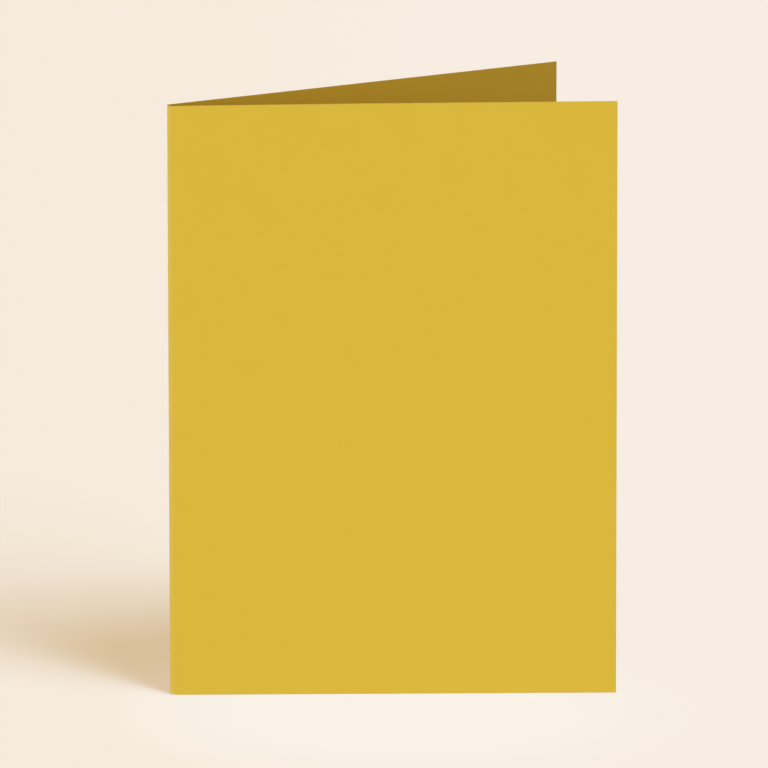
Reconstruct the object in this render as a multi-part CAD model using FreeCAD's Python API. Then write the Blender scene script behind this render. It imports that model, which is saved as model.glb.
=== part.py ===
"""A greeting card: one sheet of heavy card, creased down the middle and standing part open.

Lengths are in millimetres and angles in degrees. The card stands on its lower edge with the fold
upright on the left. The front cover faces -Y, and the back cover turns away from it, towards +Y.
The back cover is flat. The front cover is straight along its foot, and higher up it leans and bows
a little towards the back cover, as a card that stands part open does. The origin is at the middle of
the ground that the card covers.
"""

import FreeCAD
import Part
import math
import os

# Driving sizes

folded_width = 127.0  # the card when shut, from its fold to its free edges
card_height = 171.5  # both covers, along the fold
card_thickness = 0.4  # card of about 350 grams per square metre
opening_angle = 28.1  # between the two covers, along the foot

# The front cover's set, which grows evenly from nothing at the foot to this at the top

corner_lean = 3.95  # of its free corner towards the back cover
edge_bow = 0.66  # of the middle of its upper edge, beyond the lean

# The crease: two tight bends with a narrow flat strip between them, where the rule was pressed in

bend_radius = 0.3  # inside of each bend
strip_width = 1.4  # flat strip between the two bends
bead_height = 0.25  # ridge that the rule raised on the inner side of the strip

# Sizes that follow from them

outer_radius = bend_radius + card_thickness
cover_width = folded_width - outer_radius
lean_angle = math.degrees(math.asin(corner_lean / cover_width))
turn_per_bend = (180.0 - opening_angle) / 2.0

# Outward directions at the crease, counted from +X towards +Y

front_normal = 270.0
strip_normal = front_normal - turn_per_bend
back_normal = strip_normal - turn_per_bend


def direction(angle):
    """Unit vector in the ground plane."""
    turned = math.radians(angle)
    return FreeCAD.Vector(math.cos(turned), math.sin(turned), 0.0)


def bend(centre, radius, first_normal, last_normal):
    """One side of a bend, as an arc about its centre."""
    middle_normal = (first_normal + last_normal) / 2.0
    normals = (first_normal, middle_normal, last_normal)
    return Part.Arc(*[centre + direction(normal) * radius for normal in normals])


def bulge(start, end, normal, height):
    """An arc from start to end whose middle stands off their chord, away from the outer side."""
    crown = (start + end) * 0.5 - direction(normal) * height
    return Part.Arc(start, crown, end)


def front_side(start, end, normal, bow):
    """One side of the front cover, from above: straight, or an arc where it bows."""
    if bow == 0.0:
        return Part.LineSegment(start, end)
    return bulge(start, end, normal, bow)


def sheet_outline(height, lean, bow):
    """The sheet's outline at one height: its outer side, a cut edge, its inner side, a cut edge."""
    leaning_normal = front_normal + lean
    along_front = direction(leaning_normal + 90.0) * cover_width
    along_back = direction(back_normal - 90.0) * cover_width
    front_centre = FreeCAD.Vector(0.0, outer_radius, 0.0)
    back_centre = front_centre + direction(strip_normal - 90.0) * strip_width

    outer_front = bend(front_centre, outer_radius, leaning_normal, strip_normal)
    outer_back = bend(back_centre, outer_radius, strip_normal, back_normal)
    inner_back = bend(back_centre, bend_radius, back_normal, strip_normal)
    inner_front = bend(front_centre, bend_radius, strip_normal, leaning_normal)
    bead = bulge(inner_back.EndPoint, inner_front.StartPoint, strip_normal, bead_height)

    outer_front_corner = outer_front.StartPoint + along_front
    inner_front_corner = inner_front.EndPoint + along_front
    outer_back_corner = outer_back.EndPoint + along_back
    inner_back_corner = inner_back.StartPoint + along_back

    curves = [
        front_side(outer_front_corner, outer_front.StartPoint, leaning_normal, bow),
        outer_front,
        Part.LineSegment(outer_front.EndPoint, outer_back.StartPoint),
        outer_back,
        Part.LineSegment(outer_back.EndPoint, outer_back_corner),
        Part.LineSegment(outer_back_corner, inner_back_corner),
        Part.LineSegment(inner_back_corner, inner_back.StartPoint),
        inner_back,
        bead,
        inner_front,
        front_side(inner_front.EndPoint, inner_front_corner, leaning_normal, bow),
        Part.LineSegment(inner_front_corner, outer_front_corner),
    ]
    outline = Part.Wire([curve.toShape() for curve in curves])
    outline.translate(FreeCAD.Vector(0.0, 0.0, height))
    return outline


def folded_card():
    """The whole sheet, ruled from its foot to its upper edge, over the middle of the ground it covers."""
    foot = sheet_outline(0.0, 0.0, 0.0)
    top = sheet_outline(card_height, lean_angle, edge_bow)
    sheet = Part.makeLoft([foot, top], True, True)
    covered = foot.BoundBox.Center
    sheet.translate(FreeCAD.Vector(-covered.x, -covered.y, 0.0))
    return sheet


os.makedirs("parts", exist_ok=True)
folded_card().exportStep("parts/folded_card.step")
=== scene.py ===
"""A greeting card of heavy mustard stock, creased down the middle and standing part open.

A Geometry Nodes tree bends a flat block of faces into the folded sheet, where the solid card
stands. A pale floor, soft lamps and a camera show it. Lengths are in metres.
"""

import math

import bpy
from bpy.props import FloatProperty, FloatVectorProperty, IntProperty, PointerProperty
from mathutils import Matrix, Vector


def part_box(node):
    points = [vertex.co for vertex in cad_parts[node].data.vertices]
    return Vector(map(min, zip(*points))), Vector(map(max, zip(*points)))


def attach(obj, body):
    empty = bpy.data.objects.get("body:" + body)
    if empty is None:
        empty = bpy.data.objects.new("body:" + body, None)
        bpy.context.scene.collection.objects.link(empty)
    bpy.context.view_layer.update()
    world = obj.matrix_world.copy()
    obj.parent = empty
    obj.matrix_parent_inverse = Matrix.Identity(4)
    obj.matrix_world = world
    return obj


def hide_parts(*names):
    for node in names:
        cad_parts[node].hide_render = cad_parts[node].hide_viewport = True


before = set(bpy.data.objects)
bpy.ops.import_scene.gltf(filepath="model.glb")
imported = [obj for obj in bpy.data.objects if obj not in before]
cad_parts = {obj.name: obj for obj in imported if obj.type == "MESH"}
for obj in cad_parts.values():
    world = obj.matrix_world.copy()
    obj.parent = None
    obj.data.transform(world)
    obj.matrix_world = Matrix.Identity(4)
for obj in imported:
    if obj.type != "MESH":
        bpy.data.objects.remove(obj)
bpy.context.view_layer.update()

bl_info = {
    "name": "Folded Greeting Card",
    "version": (1, 0, 0),
    "blender": (4, 5, 0),
    "location": "3D View > Sidebar > Card",
    "description": "Makes a creased greeting card of mustard stock, and a pale stage for it",
    "category": "Object",
}

SOLID_NODE = "folded_card"
CARD_BODY = "root"
CARD_PIECE = "card_sheet"

# What the sheet's mesh carries for its material

SHEET_PLACE = "sheet_place"
CREASE_SHARE = "crease_share"
CUT_SHARE = "cut_share"

# The sheet's set and crease, as in the solid

OPENING_ANGLE = math.radians(28.1)
CORNER_LEAN = 0.00395
EDGE_BOW = 0.00066
CARD_THICKNESS = 0.0004
BEND_RADIUS = 0.0003
STRIP_WIDTH = 0.0014
BEAD_HEIGHT = 0.00025

# Where the solid stands, and what follows for the covers

SOLID_LOW, SOLID_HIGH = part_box(SOLID_NODE)
FOLD_REACH = BEND_RADIUS + CARD_THICKNESS + STRIP_WIDTH * math.sin(OPENING_ANGLE / 2.0)
COVER_WIDTH = SOLID_HIGH.x - SOLID_LOW.x - FOLD_REACH
CARD_HEIGHT = SOLID_HIGH.z - SOLID_LOW.z


class SheetSizes(bpy.types.PropertyGroup):
    """Sizes of the folded sheet."""

    cover_width: FloatProperty(
        name="Cover Width",
        description="Flat width of each cover, from the crease to its free edge",
        default=COVER_WIDTH,
        unit="LENGTH",
    )
    card_height: FloatProperty(
        name="Card Height",
        description="Height of both covers, along the fold",
        default=CARD_HEIGHT,
        unit="LENGTH",
    )
    card_thickness: FloatProperty(
        name="Card Thickness",
        description="Thickness of the sheet",
        default=CARD_THICKNESS,
        unit="LENGTH",
    )
    opening_angle: FloatProperty(
        name="Opening Angle",
        description="Angle between the two covers",
        default=OPENING_ANGLE,
        subtype="ANGLE",
        unit="ROTATION",
    )
    bend_radius: FloatProperty(
        name="Bend Radius",
        description="Inside radius of the two bends at the crease",
        default=BEND_RADIUS,
        unit="LENGTH",
    )
    strip_width: FloatProperty(
        name="Strip Width",
        description="Flat strip between the two bends",
        default=STRIP_WIDTH,
        unit="LENGTH",
    )
    bead_height: FloatProperty(
        name="Bead Height",
        description="Ridge that the creasing rule raised inside the fold",
        default=BEAD_HEIGHT,
        unit="LENGTH",
    )
    corner_lean: FloatProperty(
        name="Corner Lean",
        description="How far the front cover's upper free corner leans towards the back cover",
        default=CORNER_LEAN,
        unit="LENGTH",
    )
    edge_bow: FloatProperty(
        name="Edge Bow",
        description="How far the middle of the front cover's upper edge bows beyond the lean",
        default=EDGE_BOW,
        unit="LENGTH",
    )
    foot_bump: FloatProperty(
        name="Foot Bump",
        description="How far the foot of the fold is bumped up",
        default=0.0004,
        unit="LENGTH",
    )
    edge_softness: FloatProperty(
        name="Edge Softness",
        description="How far the cut edges are rounded off",
        default=0.00004,
        unit="LENGTH",
    )
    cover_columns: IntProperty(
        name="Cover Columns",
        description="Columns of faces across each cover",
        default=24,
        min=1,
    )
    bend_columns: IntProperty(
        name="Bend Columns",
        description="Columns of faces round each bend",
        default=10,
        min=1,
    )
    strip_columns: IntProperty(
        name="Strip Columns",
        description="Columns of faces across the flat strip",
        default=8,
        min=1,
    )
    rows: IntProperty(
        name="Rows",
        description="Rows of faces up the card",
        default=40,
        min=1,
    )


class StockFinish(bpy.types.PropertyGroup):
    """Colour and surface of the card stock."""

    stock_colour: FloatVectorProperty(
        name="Stock Colour",
        description="Colour of the dyed pulp",
        default=(0.70, 0.4965, 0.0385),
        subtype="COLOR",
        min=0.0,
        max=1.0,
    )
    worn_colour: FloatVectorProperty(
        name="Worn Colour",
        description="Paler colour of fibres that the crease or the knife has broken",
        default=(0.71, 0.51, 0.13),
        subtype="COLOR",
        min=0.0,
        max=1.0,
    )
    tooth_height: FloatProperty(
        name="Tooth Height",
        description="Depth of the fine grain pressed into the surface",
        default=0.00001,
        unit="LENGTH",
        precision=6,
    )


class StageLook(bpy.types.PropertyGroup):
    """Floor, lamps and camera."""

    floor_colour: FloatVectorProperty(
        name="Floor Colour",
        description="Colour of the floor and of all that lies beyond it, in full light",
        default=(0.930, 0.847, 0.760),
        subtype="COLOR",
        min=0.0,
        max=1.0,
    )
    # Painted shade: the floor is made darker and warmer on the side away from the lamps
    painted_far_shade_colour: FloatVectorProperty(
        name="Far Side Colour",
        description="Colour of the floor on the side away from the lamps",
        default=(0.922, 0.831, 0.716),
        subtype="COLOR",
        min=0.0,
        max=1.0,
    )
    # Painted light: a paler pool on the floor just in front of the card
    painted_light_pool_colour: FloatVectorProperty(
        name="Near Colour",
        description="Colour of the floor just in front of the card",
        default=(0.956, 0.888, 0.807),
        subtype="COLOR",
        min=0.0,
        max=1.0,
    )
    shadow_depth: FloatVectorProperty(
        name="Shadow Depth",
        description="How much of each colour the floor loses in the card's full shadow",
        default=(0.227, 0.306, 0.386),
        subtype="COLOR",
        min=0.0,
        max=1.0,
    )
    surround_colour: FloatVectorProperty(
        name="Surround Colour",
        description="Colour of the even light that a cream room throws back",
        default=(1.0, 0.93, 0.90),
        subtype="COLOR",
        min=0.0,
        max=1.0,
    )
    surround_strength: FloatProperty(
        name="Surround Strength",
        description="Strength of the even light from all round",
        default=0.64,
        min=0.0,
    )
    front_lamp_power: FloatProperty(
        name="Front Lamp Power",
        description="Power of the low lamp in front, in watts",
        default=9.8,
        min=0.0,
        unit="POWER",
    )
    rear_lamp_power: FloatProperty(
        name="Rear Lamp Power",
        description="Power of the low lamp behind, in watts",
        default=6.0,
        min=0.0,
        unit="POWER",
    )
    left_lamp_power: FloatProperty(
        name="Left Lamp Power",
        description="Power of the lamp that faces the fold, in watts",
        default=4.4,
        min=0.0,
        unit="POWER",
    )
    right_lamp_power: FloatProperty(
        name="Right Lamp Power",
        description="Power of the lamp that faces the opening, in watts",
        default=4.0,
        min=0.0,
        unit="POWER",
    )
    camera_lens: FloatProperty(
        name="Camera Lens",
        description="Focal length, in millimetres",
        default=541.3,
        min=1.0,
        unit="CAMERA",
    )


def opaque(colour):
    """A colour as a node's socket takes it, with nothing showing through."""
    return (*colour, 1.0)


class Wire:
    """A node's output that takes part in Python arithmetic. Each step adds a Math node."""

    def __init__(self, board, socket):
        self.board = board
        self.socket = socket

    def __add__(self, other):
        return self.board.math("ADD", self, other)

    def __radd__(self, other):
        return self.board.math("ADD", other, self)

    def __sub__(self, other):
        return self.board.math("SUBTRACT", self, other)

    def __rsub__(self, other):
        return self.board.math("SUBTRACT", other, self)

    def __mul__(self, other):
        return self.board.math("MULTIPLY", self, other)

    def __rmul__(self, other):
        return self.board.math("MULTIPLY", other, self)

    def __truediv__(self, other):
        return self.board.math("DIVIDE", self, other)

    def __pow__(self, other):
        return self.board.math("POWER", self, other)


class Board:
    """Adds nodes to one tree and wires them up."""

    # A Mix node's sockets for colours: the two that it mixes, and the result
    FIRST_COLOUR = 6
    SECOND_COLOUR = 7
    MIXED_COLOUR = 2

    def __init__(self, tree):
        self.tree = tree
        tree.nodes.clear()

    def node(self, kind, settings=None, values=None, output=0):
        """One node of a kind. Its settings come first, then its sockets' values or wires."""
        made = self.tree.nodes.new(kind)
        for name, setting in (settings or {}).items():
            setattr(made, name, setting)
        for name, value in (values or {}).items():
            if isinstance(value, Wire):
                self.tree.links.new(value.socket, made.inputs[name])
            else:
                made.inputs[name].default_value = value
        return Wire(self, made.outputs[output]) if made.outputs else made

    def math(self, operation, *values):
        """One Math node."""
        return self.node("ShaderNodeMath", {"operation": operation}, dict(enumerate(values)))

    def vector_math(self, operation, *values, output=0):
        """One Vector Math node."""
        settings = {"operation": operation}
        return self.node("ShaderNodeVectorMath", settings, dict(enumerate(values)), output)

    def share(self, value, start, length):
        """How far value has come from start along length, held between 0 and 1."""
        settings = {"operation": "DIVIDE", "use_clamp": True}
        return self.node("ShaderNodeMath", settings, {0: value - start, 1: length})

    def parts(self, vector):
        """The three numbers of a vector."""
        split = self.node("ShaderNodeSeparateXYZ", None, {"Vector": vector}).socket.node
        return [Wire(self, output) for output in split.outputs]

    def vector(self, x, y, z):
        """A vector of three numbers."""
        return self.node("ShaderNodeCombineXYZ", None, {"X": x, "Y": y, "Z": z})

    def noise(self, place, scale, detail):
        """Smooth noise from 0 to 1."""
        values = {"Vector": place, "Scale": scale, "Detail": detail}
        return self.node("ShaderNodeTexNoise", None, values)

    def mix(self, share, first, second):
        """A colour between two colours."""
        values = {"Factor": share, self.FIRST_COLOUR: first, self.SECOND_COLOUR: second}
        return self.node("ShaderNodeMix", {"data_type": "RGBA"}, values, self.MIXED_COLOUR)


# The folded sheet

SHEET_INPUTS = (
    ("Shoulder Place", "NodeSocketVector"),
    ("Cover Width", "NodeSocketFloat"),
    ("Card Height", "NodeSocketFloat"),
    ("Card Thickness", "NodeSocketFloat"),
    ("Opening Angle", "NodeSocketFloat"),
    ("Bend Radius", "NodeSocketFloat"),
    ("Strip Width", "NodeSocketFloat"),
    ("Bead Height", "NodeSocketFloat"),
    ("Corner Lean", "NodeSocketFloat"),
    ("Edge Bow", "NodeSocketFloat"),
    ("Foot Bump", "NodeSocketFloat"),
    ("Edge Softness", "NodeSocketFloat"),
    ("Cover Columns", "NodeSocketInt"),
    ("Bend Columns", "NodeSocketInt"),
    ("Strip Columns", "NodeSocketInt"),
    ("Rows", "NodeSocketInt"),
)
LAYERS = 4
HALF_FACE = 0.5  # of the block: only its outermost vertices lie this near its ends
CROWDING = 2  # power that draws the covers' columns together towards the crease
ROUNDING = 4  # power that keeps the softening of a cut edge close to the sheet's two faces
BUMP_FALL = 2  # power with which the bump at the fold's foot dies away
CREASE_FADE = 0.0012  # how far out the crease still shows on a cover
CUT_FACING = 0.5  # a face of the block that faces through the sheet by less than this was cut
SHARP_FROM = math.radians(30.0)


def arch(height, share):
    """Rises from nothing to a height halfway along, and falls to nothing again."""
    return height * 4 * share * (1 - share)


def sheet_tree(material):
    """The tree that bends a block of faces into the folded sheet."""
    tree = bpy.data.node_groups.new("Folded Sheet", "GeometryNodeTree")
    for name, kind in SHEET_INPUTS:
        tree.interface.new_socket(name, in_out="INPUT", socket_type=kind)
    tree.interface.new_socket("Geometry", in_out="OUTPUT", socket_type="NodeSocketGeometry")
    board = Board(tree)
    given = board.node("NodeGroupInput").socket.node
    size = {name: Wire(board, given.outputs[name]) for name, _ in SHEET_INPUTS}

    # A block of faces one apart: columns along the sheet, layers through it and rows up it
    covers_from = size["Cover Columns"]
    strip_from = covers_from + size["Bend Columns"]
    strip_to = strip_from + size["Strip Columns"]
    covers_to = strip_to + size["Bend Columns"]
    columns = covers_to + size["Cover Columns"]
    block_values = {
        "Size": board.vector(columns, LAYERS, size["Rows"]),
        "Vertices X": columns + 1,
        "Vertices Y": LAYERS + 1,
        "Vertices Z": size["Rows"] + 1,
    }
    block = board.node("GeometryNodeMeshCube", None, block_values)
    block_x, block_y, block_z = board.parts(board.node("GeometryNodeInputPosition"))
    column = block_x + columns / 2
    row = block_z + size["Rows"] / 2
    through = (LAYERS / 2 - block_y) / LAYERS

    # How far each vertex has come along each stretch of the sheet
    front_share = board.share(column, 0.0, size["Cover Columns"])
    first_bend = board.share(column, covers_from, size["Bend Columns"])
    strip_share = board.share(column, strip_from, size["Strip Columns"])
    second_bend = board.share(column, strip_to, size["Bend Columns"])
    back_share = board.share(column, covers_to, size["Cover Columns"])

    # The cut edges draw in towards both faces of the sheet
    softened = size["Edge Softness"] * board.math("ABSOLUTE", through * 2 - 1) ** ROUNDING
    front_cut = board.math("LESS_THAN", column, HALF_FACE)
    back_cut = board.math("GREATER_THAN", column, columns - HALF_FACE)
    lower_cut = board.math("LESS_THAN", row, HALF_FACE)
    upper_cut = board.math("GREATER_THAN", row, size["Rows"] - HALF_FACE)
    front_reach = size["Cover Width"] * (1 - front_share) ** CROWDING - softened * front_cut
    back_reach = size["Cover Width"] * back_share**CROWDING - softened * back_cut

    # The foot of the fold is bumped up a little
    crease_share = 1 - board.share(front_reach + back_reach, 0.0, CREASE_FADE)
    drawn_in = softened * (lower_cut - upper_cut)
    even_height = size["Card Height"] * row / size["Rows"] + drawn_in
    height = even_height + size["Foot Bump"] * crease_share**BUMP_FALL * lower_cut

    # The section, turning about the two bends' centres
    half_opening = size["Opening Angle"] / 2
    turned = (math.pi - size["Opening Angle"]) / 2 * (first_bend + second_bend)
    strip_reach = size["Strip Width"] * strip_share
    bead = arch(size["Bead Height"], strip_share)
    depth = through * (size["Card Thickness"] + bead)
    outer_radius = size["Bend Radius"] + size["Card Thickness"]
    radius = outer_radius - depth
    section_x = (
        front_reach
        - strip_reach * board.math("SINE", half_opening)
        + back_reach * board.math("COSINE", size["Opening Angle"])
        - radius * board.math("SINE", turned)
    )
    section_y = (
        outer_radius
        + strip_reach * board.math("COSINE", half_opening)
        + back_reach * board.math("SINE", size["Opening Angle"])
        - radius * board.math("COSINE", turned)
    )

    # The front cover leans and bows a little towards its upper free corner
    out_share = front_reach / size["Cover Width"]
    bow = arch(size["Edge Bow"], out_share)
    lean = (size["Corner Lean"] * out_share + bow) * height / size["Card Height"]

    shoulder_x, shoulder_y, shoulder_z = board.parts(size["Shoulder Place"])
    sheet_y = shoulder_y + section_y + lean
    place = board.vector(shoulder_x + section_x, sheet_y, shoulder_z + height)

    # What the material reads: the place on the flat sheet, the crease and the cut edges
    crease_arc = outer_radius * turned + strip_reach
    flat_place = board.vector(back_reach - front_reach + crease_arc, height, depth)
    face_across = board.parts(board.node("GeometryNodeInputNormal"))[1]
    cut_share = board.math("LESS_THAN", board.math("ABSOLUTE", face_across), CUT_FACING)
    sheet = block
    carried = (
        (SHEET_PLACE, "FLOAT_VECTOR", "POINT", flat_place),
        (CREASE_SHARE, "FLOAT", "POINT", crease_share),
        (CUT_SHARE, "FLOAT", "FACE", cut_share),
    )
    for name, kind, domain, value in carried:
        settings = {"data_type": kind, "domain": domain}
        values = {"Geometry": sheet, "Name": name, "Value": value}
        sheet = board.node("GeometryNodeStoreNamedAttribute", settings, values)

    sheet = board.node("GeometryNodeSetPosition", None, {"Geometry": sheet, "Position": place})
    smooth_values = {"Geometry": sheet, "Shade Smooth": True}
    sheet = board.node("GeometryNodeSetShadeSmooth", {"domain": "FACE"}, smooth_values)
    edge_angle = board.node("GeometryNodeInputMeshEdgeAngle")
    sharp = board.math("GREATER_THAN", edge_angle, SHARP_FROM)
    sharp_values = {"Geometry": sheet, "Selection": sharp, "Shade Smooth": False}
    sheet = board.node("GeometryNodeSetShadeSmooth", {"domain": "EDGE"}, sharp_values)
    sheet = board.node("GeometryNodeRealizeInstances", None, {"Geometry": sheet})
    material_values = {"Geometry": sheet, "Material": material}
    sheet = board.node("GeometryNodeSetMaterial", None, material_values)
    board.node("NodeGroupOutput", None, {"Geometry": sheet})
    return tree


def grown_mesh(name, tree, values):
    """An object whose plain mesh a tree has made from the values of its named inputs."""
    grown = bpy.data.objects.new(name, bpy.data.meshes.new(name))
    bpy.context.scene.collection.objects.link(grown)
    modifier = grown.modifiers.new(tree.name, "NODES")
    modifier.node_group = tree
    for socket in tree.interface.items_tree:
        if socket.in_out == "INPUT":
            modifier[socket.identifier] = values[socket.name]
    evaluated = grown.evaluated_get(bpy.context.evaluated_depsgraph_get())
    mesh = bpy.data.meshes.new_from_object(evaluated)
    grown.modifiers.remove(modifier)
    grown.data = mesh
    mesh.name = name
    return grown


# The card stock: how its patterns stretch up the sheet, and the scale and detail of each

GRAIN_STRETCH = (1.0, 0.3, 1.0)
CRACK_STRETCH = (1.0, 0.06, 1.0)
FIBRES = (1900.0, 3.0)
TOOTH = (3600.0, 2.0)
CLOUDS = (75.0, 2.0)
CRACKS = (5200.0, 2.0)

# Brightness of the pulp where no pattern shows, and what each pattern adds at most

PLAIN_BRIGHTNESS = 0.965
FIBRE_BRIGHTNESS = 0.03
TOOTH_BRIGHTNESS = 0.02
CLOUD_BRIGHTNESS = 0.02

# How far the worn colour covers the pulp

CREASE_WEAR = 0.35
CUT_WEAR = 0.3

# Roughness in the same way, and what is even all over the surface

PLAIN_ROUGHNESS = 0.76
FIBRE_ROUGHNESS = 0.12
CUT_ROUGHNESS = 0.06
DIFFUSE_ROUGHNESS = 0.4
SPECULAR_LEVEL = 0.3

# How much of the relief each pattern makes

FIBRE_RELIEF = 0.6
TOOTH_RELIEF = 0.4
CREASE_RELIEF = 0.8


def stock_material(finish):
    """Uncoated dyed card: pressed fibres, a fine tooth, and paler fibres where it is worn."""
    material = bpy.data.materials.new("mustard_card_stock")
    material.use_nodes = True
    board = Board(material.node_tree)

    place = board.node("ShaderNodeAttribute", {"attribute_name": SHEET_PLACE}, output="Vector")
    crease = board.node("ShaderNodeAttribute", {"attribute_name": CREASE_SHARE}, output="Fac")
    cut = board.node("ShaderNodeAttribute", {"attribute_name": CUT_SHARE}, output="Fac")
    fibres = board.noise(board.vector_math("MULTIPLY", place, GRAIN_STRETCH), *FIBRES)
    tooth = board.noise(place, *TOOTH)
    clouds = board.noise(place, *CLOUDS)
    cracks = board.noise(board.vector_math("MULTIPLY", place, CRACK_STRETCH), *CRACKS)

    # Pulp is never quite even: clouds across the sheet, and fibres and pores within them
    fine_brightness = PLAIN_BRIGHTNESS + FIBRE_BRIGHTNESS * fibres + TOOTH_BRIGHTNESS * tooth
    brightness = fine_brightness + CLOUD_BRIGHTNESS * clouds
    pulp_values = {0: finish.stock_colour, "Scale": brightness}
    pulp = board.node("ShaderNodeVectorMath", {"operation": "SCALE"}, pulp_values)
    worn = crease * cracks * CREASE_WEAR + cut * CUT_WEAR
    colour = board.mix(worn, pulp, opaque(finish.worn_colour))

    roughness = PLAIN_ROUGHNESS + FIBRE_ROUGHNESS * fibres + CUT_ROUGHNESS * cut
    pressed = fibres * FIBRE_RELIEF + tooth * TOOTH_RELIEF
    relief = pressed + crease * cracks * CREASE_RELIEF + cut * cracks
    bump_values = {"Strength": 1.0, "Distance": finish.tooth_height, "Height": relief}
    normal = board.node("ShaderNodeBump", None, bump_values)
    surface_values = {
        "Base Color": colour,
        "Roughness": roughness,
        "Diffuse Roughness": DIFFUSE_ROUGHNESS,
        "Specular IOR Level": SPECULAR_LEVEL,
        "Normal": normal,
    }
    surface = board.node("ShaderNodeBsdfPrincipled", None, surface_values)
    board.node("ShaderNodeOutputMaterial", None, {"Surface": surface})
    return material


class CARD_OT_make_sheet(bpy.types.Operator):
    """Make the folded sheet, standing where the solid card stands"""

    bl_idname = "card.make_sheet"
    bl_label = "Make Folded Sheet"

    def execute(self, context):
        sizes = context.scene.card_sheet
        tree = sheet_tree(stock_material(context.scene.card_finish))
        values = {
            "Shoulder Place": (SOLID_LOW.x + FOLD_REACH, SOLID_LOW.y, SOLID_LOW.z),
            "Cover Width": sizes.cover_width,
            "Card Height": sizes.card_height,
            "Card Thickness": sizes.card_thickness,
            "Opening Angle": sizes.opening_angle,
            "Bend Radius": sizes.bend_radius,
            "Strip Width": sizes.strip_width,
            "Bead Height": sizes.bead_height,
            "Corner Lean": sizes.corner_lean,
            "Edge Bow": sizes.edge_bow,
            "Foot Bump": sizes.foot_bump,
            "Edge Softness": sizes.edge_softness,
            "Cover Columns": sizes.cover_columns,
            "Bend Columns": sizes.bend_columns,
            "Strip Columns": sizes.strip_columns,
            "Rows": sizes.rows,
        }
        sheet = grown_mesh(CARD_PIECE, tree, values)
        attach(sheet, CARD_BODY)
        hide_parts(SOLID_NODE)
        return {"FINISHED"}


# The stage

FLOOR_REACH = 200.0  # of the floor, each way from the card
CLIP_REACH = 4.0 * FLOOR_REACH
CARD_MIDDLE = Vector((0.0, 0.0, CARD_HEIGHT / 2.0))

# Where the floor starts to turn to a painted shade on the side away from the lamps, and how far to
# the left that takes

FAR_SHADE_FROM = 0.035
FAR_SHADE_REACH = 0.115

# A painted pool of light on the floor in front of the card: its middle, its reach each way and how
# much of it fades

LIGHT_POOL_MIDDLE = (0.002, -0.05, 0.0)
LIGHT_POOL_REACH = (0.095, 0.088, 1.0)
LIGHT_POOL_FADE = 0.5

# The floor lamps' light on the floor, how much of the surround's is left there in the card's full
# shadow, and the colour with which the floor throws them back on the card

FLOOR_LAMPS_LEVEL = 12.0
SHADOW_SURROUND = 0.65
BOUNCE_COLOUR = (0.0165, 0.0158, 0.0153)

# Each floor lamp: its name, its heading round from the right to the front, how high it stands and
# how wide it looks, in degrees, and its share of the light

FLOOR_LAMPS = (
    ("high_floor_lamp", 58.2, 66.4, 12.2, 0.33),
    ("middle_floor_lamp", 52.8, 56.0, 13.8, 0.29),
    ("low_floor_lamp", 34.2, 29.9, 37.0, 0.38),
)

# The lamps round the card

FRONT_LAMP_PLACE = Vector((0.02, -1.3, 0.075))
REAR_LAMP_PLACE = Vector((-0.6, 1.15, 0.12))
LOW_LAMP_SIZE = (0.5, 0.13)
LEFT_LAMP_PLACE = Vector((-1.3, 0.05, 0.3))
RIGHT_LAMP_PLACE = Vector((1.3, 0.02, 0.12))
SIDE_LAMP_SIZE = (0.3, 0.3)
WHITE_LIGHT = (1.0, 1.0, 1.0)
CREAM_LIGHT = (1.0, 0.72, 0.72)


def seen_directly(board):
    """1 where a ray comes from the camera, a reflection or a clear surface, and 0 elsewhere."""
    path = board.node("ShaderNodeLightPath").socket.node
    rays = ("Is Camera Ray", "Is Glossy Ray", "Is Transmission Ray")
    camera, glossy, through = [Wire(board, path.outputs[name]) for name in rays]
    return board.math("MAXIMUM", camera, board.math("MAXIMUM", glossy, through))


def floor_material(look):
    """A pale floor, cream in full light and darker where the card keeps the floor lamps off, with
    painted shade on its side away from the lamps and a painted pool of light in front of the card.
    """
    material = bpy.data.materials.new("pale_floor")
    material.use_nodes = True
    board = Board(material.node_tree)
    place = board.node("ShaderNodeTexCoord", None, None, output="Object")
    # Painted shade: the floor turns darker to the left, away from the lamps
    painted_far_shade = board.share(FAR_SHADE_FROM - board.parts(place)[0], 0.0, FAR_SHADE_REACH)
    # Painted light: a paler pool on the floor in front of the card
    from_near = board.vector_math("SUBTRACT", place, LIGHT_POOL_MIDDLE)
    near_place = board.vector_math("DIVIDE", from_near, LIGHT_POOL_REACH)
    near_distance = board.vector_math("LENGTH", near_place, output="Value")
    near = board.share(1.0 - near_distance, 0.0, LIGHT_POOL_FADE)
    sideways = board.mix(painted_far_shade, opaque(look.floor_colour), opaque(look.painted_far_shade_colour))
    lit_colour = board.mix(near, sideways, opaque(look.painted_light_pool_colour))

    # A wash that the card can shade, and a glow that makes up the rest of the colour in full light
    surround = look.surround_strength
    lost_light = FLOOR_LAMPS_LEVEL + surround * (1.0 - SHADOW_SURROUND)
    wash = [depth / lost_light for depth in look.shadow_depth]
    washed_out = [share * (surround + FLOOR_LAMPS_LEVEL) for share in wash]
    glow = board.vector_math("SUBTRACT", lit_colour, washed_out)
    washed = board.node("ShaderNodeBsdfDiffuse", None, {"Color": opaque(wash)})
    glowing = board.node("ShaderNodeEmission", None, {"Color": glow})
    shown = board.node("ShaderNodeAddShader", None, {0: washed, 1: glowing})
    bounced = board.node("ShaderNodeBsdfDiffuse", None, {"Color": opaque(BOUNCE_COLOUR)})
    surface_values = {0: seen_directly(board), 1: bounced, 2: shown}
    surface = board.node("ShaderNodeMixShader", None, surface_values)
    board.node("ShaderNodeOutputMaterial", None, {"Surface": surface})
    return material


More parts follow.
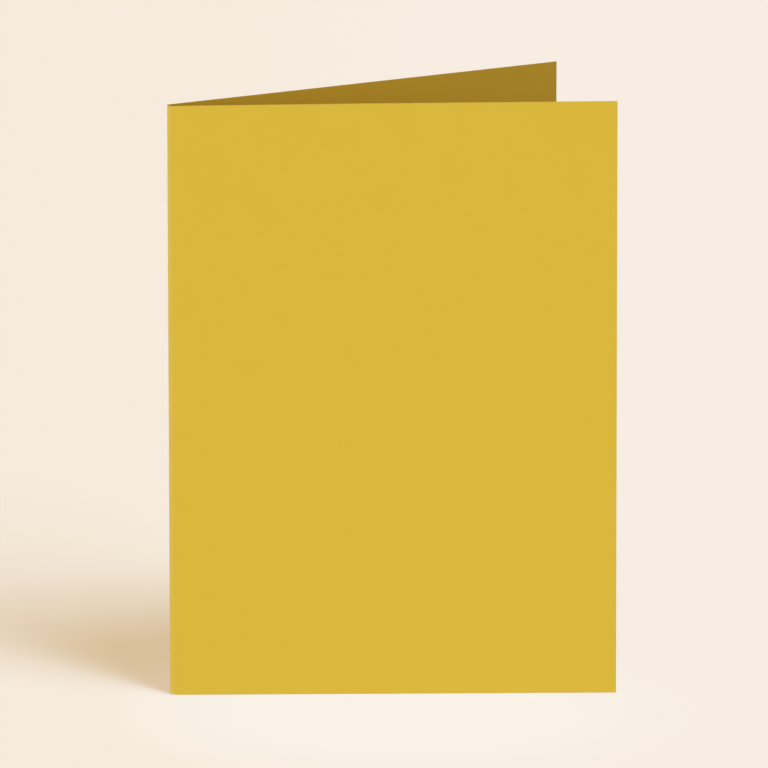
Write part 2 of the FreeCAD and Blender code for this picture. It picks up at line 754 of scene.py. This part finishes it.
def make_floor(look):
    """One wide sheet of floor, level with the foot of the card."""
    signs = ((-1, -1), (1, -1), (1, 1), (-1, 1))
    corners = [(x * FLOOR_REACH, y * FLOOR_REACH, 0.0) for x, y in signs]
    mesh = bpy.data.meshes.new("floor")
    mesh.from_pydata(corners, [], [(0, 1, 2, 3)])
    mesh.materials.append(floor_material(look))
    floor = bpy.data.objects.new("floor", mesh)
    bpy.context.scene.collection.objects.link(floor)
    return floor


def make_surround(look):
    """Even light from all round, with a far background that is seen as the floor is."""
    world = bpy.data.worlds.new("surround")
    world.use_nodes = True
    board = Board(world.node_tree)
    light_values = {"Color": opaque(look.surround_colour), "Strength": look.surround_strength}
    light = board.node("ShaderNodeBackground", None, light_values)
    backdrop = board.node("ShaderNodeBackground", None, {"Color": opaque(look.floor_colour)})
    surface_values = {0: seen_directly(board), 1: light, 2: backdrop}
    surface = board.node("ShaderNodeMixShader", None, surface_values)
    board.node("ShaderNodeOutputWorld", None, {"Surface": surface})
    bpy.context.scene.world = world


def hang_lamp(name, kind, place, towards):
    """A lamp at a place, facing a point."""
    data = bpy.data.lights.new(name, kind)
    lamp = bpy.data.objects.new(name, data)
    bpy.context.scene.collection.objects.link(lamp)
    lamp.location = place
    lamp.rotation_euler = (towards - place).to_track_quat("-Z", "Y").to_euler()
    return lamp


def light_only(lamp, lit):
    """Keeps a lamp's light to one object."""
    kept = bpy.data.collections.new("lit_by_" + lamp.name)
    kept.objects.link(lit)
    lamp.light_linking.receiver_collection = kept


def make_floor_lamps(floor):
    """Broad lamps on the front right, whose light falls past the card on the floor."""
    for name, heading, rise, width, share in FLOOR_LAMPS:
        heading, rise = math.radians(heading), math.radians(rise)
        level = math.cos(rise)
        place = Vector((level * math.cos(heading), -level * math.sin(heading), math.sin(rise)))
        lamp = hang_lamp(name, "SUN", place, Vector((0.0, 0.0, 0.0)))
        lamp.data.angle = math.radians(width)
        lamp.data.energy = math.pi * FLOOR_LAMPS_LEVEL * share / math.sin(rise)
        light_only(lamp, floor)


def make_panel_lamp(name, place, size, colour, power):
    """A soft flat lamp that faces the card."""
    lamp = hang_lamp(name, "AREA", place, CARD_MIDDLE)
    lamp.data.shape = "RECTANGLE"
    lamp.data.size, lamp.data.size_y = size
    lamp.data.color = colour
    lamp.data.energy = power
    lamp.visible_camera = False
    return lamp


def make_card_lamps(look, sheet):
    """A lamp in front, no higher than the card, which leaves its inside in shade, and fills."""
    power = look.front_lamp_power
    make_panel_lamp("front_lamp", FRONT_LAMP_PLACE, LOW_LAMP_SIZE, WHITE_LIGHT, power)
    fills = (
        ("rear_lamp", REAR_LAMP_PLACE, LOW_LAMP_SIZE, WHITE_LIGHT, look.rear_lamp_power),
        ("left_lamp", LEFT_LAMP_PLACE, SIDE_LAMP_SIZE, WHITE_LIGHT, look.left_lamp_power),
        ("right_lamp", RIGHT_LAMP_PLACE, SIDE_LAMP_SIZE, CREAM_LIGHT, look.right_lamp_power),
    )
    for fill in fills:
        light_only(make_panel_lamp(*fill), sheet)


# The camera: where it stands, how far it looks down and is turned to the right, and its roll

CAMERA_PLACE = Vector((-0.05806, -3.22516, 0.82295))
CAMERA_PITCH = math.radians(12.909)
CAMERA_YAW = math.radians(0.996)
CAMERA_ROLL = math.radians(-0.059)
SENSOR_WIDTH = 36.0


def make_camera(look):
    """A long lens, a little above the card and square to its front cover."""
    data = bpy.data.cameras.new("camera")
    data.lens = look.camera_lens
    data.sensor_width = SENSOR_WIDTH
    data.clip_end = CLIP_REACH
    camera = bpy.data.objects.new("camera", data)
    bpy.context.scene.collection.objects.link(camera)
    pitched = Matrix.Rotation(math.pi / 2.0 - CAMERA_PITCH, 4, "X")
    turned = Matrix.Rotation(-CAMERA_YAW, 4, "Z") @ pitched
    rolled = Matrix.Rotation(CAMERA_ROLL, 4, "Z")
    camera.matrix_world = Matrix.Translation(CAMERA_PLACE) @ turned @ rolled
    bpy.context.scene.camera = camera


class CARD_OT_make_stage(bpy.types.Operator):
    """Make the pale floor, the lamps and the camera"""

    bl_idname = "card.make_stage"
    bl_label = "Make Stage"

    def execute(self, context):
        look = context.scene.card_stage
        context.scene.view_settings.view_transform = "Standard"
        make_surround(look)
        make_floor_lamps(make_floor(look))
        make_card_lamps(look, bpy.data.objects[CARD_PIECE])
        make_camera(look)
        return {"FINISHED"}


class VIEW3D_PT_greeting_card(bpy.types.Panel):
    """Sizes, finish and stage of the greeting card"""

    bl_idname = "VIEW3D_PT_greeting_card"
    bl_label = "Greeting Card"
    bl_space_type = "VIEW_3D"
    bl_region_type = "UI"
    bl_category = "Card"

    def draw(self, context):
        groups = (
            (context.scene.card_sheet, "card.make_sheet"),
            (context.scene.card_finish, None),
            (context.scene.card_stage, "card.make_stage"),
        )
        for group, operator in groups:
            box = self.layout.box()
            for name in type(group).__annotations__:
                box.prop(group, name)
            if operator:
                box.operator(operator)


CLASSES = (
    SheetSizes,
    StockFinish,
    StageLook,
    CARD_OT_make_sheet,
    CARD_OT_make_stage,
    VIEW3D_PT_greeting_card,
)


def register():
    for shown in CLASSES:
        bpy.utils.register_class(shown)
    bpy.types.Scene.card_sheet = PointerProperty(type=SheetSizes)
    bpy.types.Scene.card_finish = PointerProperty(type=StockFinish)
    bpy.types.Scene.card_stage = PointerProperty(type=StageLook)


def unregister():
    del bpy.types.Scene.card_stage
    del bpy.types.Scene.card_finish
    del bpy.types.Scene.card_sheet
    for shown in reversed(CLASSES):
        bpy.utils.unregister_class(shown)


def main():
    """Makes the card and its stage."""
    register()
    bpy.ops.card.make_sheet()
    bpy.ops.card.make_stage()


if __name__ == "__main__":
    main()
